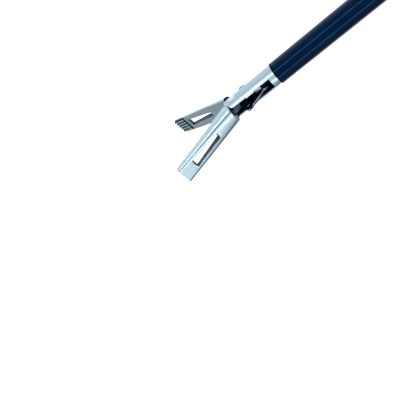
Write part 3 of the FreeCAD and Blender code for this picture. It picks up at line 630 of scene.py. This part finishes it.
# The pivot pin's rounded rim is painted shade, a dark ring round its head
twin("jaw_pivot_pin", pin_steel, painted_half_shade, edge=0.15 * MM, rim=1)
# The link and rod pins' flat ends have painted deep shade
for node in ("upper_link_pin", "lower_link_pin", "rod_pin"):
    twin(node, pin_steel, painted_deep_shade, finish=flank, edge=0.04 * MM)
rod_steel = steel("rod_drawn", (0.42, 0.48, 0.52), (0.3, 0.35, 0.38), 0.28)


def behind_pin(face):
    """Faces of the rod's end that lie deep in the slot, and its flat sides. They get painted deep shade.
    """
    return flank(face) or face.calc_center_median().x > rod_pin_low.x


twin("rod_end", rod_steel, painted_deep_shade, finish=behind_pin, edge=0.05 * MM)
assign(rod_steel, "pull_rod", "rod_ball")
assign(steel("tube_drawn", (0.5, 0.53, 0.56), (0.36, 0.39, 0.42), 0.3), "outer_tube", "shaft_hub")
ratchet_steel = steel("ratchet_satin", (0.55, 0.58, 0.6), (0.4, 0.43, 0.45), 0.32)
for node in ("ratchet_bar", "ratchet_pawl"):
    twin(node, ratchet_steel, edge=0.1 * MM)
screw_steel = steel("screw_bright", (0.6, 0.62, 0.64), (0.45, 0.47, 0.49), 0.22)
screws = ("handle_screws", "lever_screw", "lever_nut", "pawl_pin", "ratchet_bar_pin", "electrode_post")
for node in screws:
    twin(node, screw_steel, edge=0.08 * MM)
assign(screw_steel, "hub_circlip")
assign(steel("contact_gold", (0.86, 0.62, 0.26), (0.7, 0.48, 0.18), 0.25), "contact_pin")

# Sleeve, ring, handle and seals


def navy_gloss():
    """A glossy navy coating, nearly black but for its blue highlights."""
    material, tree, shader = new_material("navy_gloss")
    place = object_place(tree)
    cloud = streaks(tree, place, (60.0, 500.0, 500.0), detail=3.0)
    colour = ramp(tree, cloud, [(0.3, (0.0, 0.001, 0.008)), (0.7, (0.0, 0.002, 0.012))])
    tree.links.new(colour, shader.inputs["Base Color"])
    rough = ramp(tree, cloud, [(0.3, 0.03), (0.7, 0.05)])
    tree.links.new(rough, shader.inputs["Roughness"])
    shader.inputs["Specular IOR Level"].default_value = 0.24
    shader.inputs["Specular Tint"].default_value = (0.08, 0.42, 1.0, 1.0)
    bump(tree, shader, cloud, 0.002 * MM)
    return material


def grained_plastic(name, light, dark, roughness):
    """Moulded plastic with a fine grain and faint clouds."""
    material, tree, shader = new_material(name)
    place = object_place(tree)
    grain = streaks(tree, place, (2200.0, 2200.0, 2200.0), detail=2.0)
    cloud = streaks(tree, place, (90.0, 90.0, 90.0), detail=4.0)
    tree.links.new(ramp(tree, cloud, [(0.3, dark), (0.7, light)]), shader.inputs["Base Color"])
    rough = ramp(tree, grain, [(0.3, roughness - 0.06), (0.7, roughness + 0.08)])
    tree.links.new(rough, shader.inputs["Roughness"])
    bump(tree, shader, grain, 0.03 * MM)
    return material


def tube_profile(node, inner, edge):
    """Profile of a tube that fills a node's box, with its ends rounded over an edge."""
    low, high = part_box(node)
    outer = high.z
    cut = 0.3 * edge
    front = [(low.x, inner), (low.x, outer - edge), (low.x + cut, outer - cut), (low.x + edge, outer)]
    back = [(high.x - edge, outer), (high.x - cut, outer - cut), (high.x, outer - edge), (high.x, inner)]
    return front + back


sleeve_edge = 0.12 * MM
ring_edge = 0.06 * MM
ring_inner = tube_radius - 0.4 * MM
revolved("insulation_sleeve", tube_profile("insulation_sleeve", tube_radius, sleeve_edge), navy_gloss())
ring_black = matte_dark_and_shade("ring_black", (0.001, 0.001, 0.002), (0.0003, 0.0003, 0.0005), specular=0.05)
revolved("sleeve_end_ring", tube_profile("sleeve_end_ring", ring_inner, ring_edge), ring_black)
black = grained_plastic("handle_black", (0.016, 0.017, 0.02), (0.01, 0.011, 0.013), 0.42)
assign(black, "left_handle_half", "right_handle_half", "thumb_lever", "rotation_knob", "post_collar")
natural = grained_plastic("bush_natural", (0.7, 0.66, 0.55), (0.6, 0.56, 0.46), 0.4)
assign(natural, "nose_bush", "lever_bush", "seal_cap")
red = grained_plastic("seal_red", (0.25, 0.05, 0.04), (0.18, 0.03, 0.03), 0.5)
assign(red, "rod_seal", "hub_o_ring")

# Floor, light and camera

floor_size = 6.0
floor_drop = 0.2 * MM
floor_glow = 0.5
floor_mesh = bpy.data.meshes.new("floor")
shape = bmesh.new()
bmesh.ops.create_grid(shape, x_segments=1, y_segments=1, size=floor_size / 2)
shape.to_mesh(floor_mesh)
shape.free()
floor = bpy.data.objects.new("floor", floor_mesh)
bpy.context.scene.collection.objects.link(floor)
floor.location = (0.0, 0.0, cad_low.z - floor_drop)


def seen_white(tree):
    """1 for rays from the camera, and for rays that metal or glass sends on."""
    path = add(tree, "ShaderNodeLightPath")
    either = math_node(tree, "MAXIMUM", path.outputs["Is Camera Ray"], path.outputs["Is Glossy Ray"])
    return math_node(tree, "MAXIMUM", either, path.outputs["Is Transmission Ray"])


def floor_material():
    """A pale floor that looks nearly white and gives little light back."""
    material, tree, shader = new_material("floor_pale")
    shader.inputs["Base Color"].default_value = (0.6, 0.61, 0.62, 1)
    shader.inputs["Roughness"].default_value = 0.9
    shader.inputs["Specular IOR Level"].default_value = 0.1
    shader.inputs["Emission Color"].default_value = (1, 1, 1, 1)
    glow = math_node(tree, "MULTIPLY", seen_white(tree), floor_glow)
    tree.links.new(glow, shader.inputs["Emission Strength"])
    return material


floor_mesh.materials.append(floor_material())

# The sky is brightest above and towards +Y and -X. The camera sees it white and at a strength of 1.
sky_slant = (-0.2, 0.3, 0.6)
sky_middle = 0.5
sky_strength = 1.25
sky_tones = [(0.25, (0.16, 0.19, 0.22)), (0.55, (0.36, 0.4, 0.44)), (0.8, (0.94, 0.98, 1.0))]
world = bpy.data.worlds.new("studio")
bpy.context.scene.world = world
world.use_nodes = True
sky = world.node_tree
background = sky.nodes["Background"]
direction = add(sky, "ShaderNodeTexCoord").outputs["Generated"]
slant = add(sky, "ShaderNodeVectorMath", operation="DOT_PRODUCT")
slant.inputs[1].default_value = sky_slant
sky.links.new(direction, slant.inputs[0])
level = math_node(sky, "ADD", slant.outputs["Value"], sky_middle)
studio = ramp(sky, level, sky_tones)
camera_ray = add(sky, "ShaderNodeLightPath").outputs["Is Camera Ray"]
sky.links.new(mixed(sky, camera_ray, studio, (1.0, 1.0, 1.0)), background.inputs["Color"])
less_seen = math_node(sky, "MULTIPLY", camera_ray, sky_strength - 1.0)
strength = math_node(sky, "SUBTRACT", sky_strength, less_seen)
sky.links.new(strength, background.inputs["Strength"])

# Two long lamps draw the bright lines along the sleeve
strip_x = -0.25
strip_distance = 0.6
strip_length, strip_width = 1.4, 0.04


def strip_light(name, angle, power):
    """A long thin lamp beside the shaft and parallel to it. The angle is taken from up towards +Y."""
    lamp = bpy.data.lights.new(name, "AREA")
    lamp.shape = "RECTANGLE"
    lamp.size, lamp.size_y = strip_length, strip_width
    lamp.energy = power
    a = math.radians(angle)
    aside = Vector((0.0, math.sin(a), math.cos(a))) * strip_distance
    holder = bpy.data.objects.new(name, lamp)
    bpy.context.scene.collection.objects.link(holder)
    holder.location = Vector((strip_x, 0.0, 0.0)) + aside
    holder.rotation_euler = (-aside).to_track_quat("-Z", "Y").to_euler()


strip_light("side_strip", angle=53.0, power=2.7)
strip_light("top_strip", angle=-16.0, power=2.2)

# The camera stands as fitted to the photograph. Its turn is in degrees.
camera_place = (-0.290592, 0.064831, 0.119167)
camera_turn = (-40.879, -4.024, -42.6065)
camera_data = bpy.data.cameras.new("camera")
camera_data.sensor_width = 36.0
camera_data.lens = 56.3
camera = bpy.data.objects.new("camera", camera_data)
bpy.context.scene.collection.objects.link(camera)
camera.location = camera_place
camera.rotation_euler = Euler([math.radians(a) for a in camera_turn])
bpy.context.scene.camera = camera
bpy.context.scene.view_settings.view_transform = "Standard"
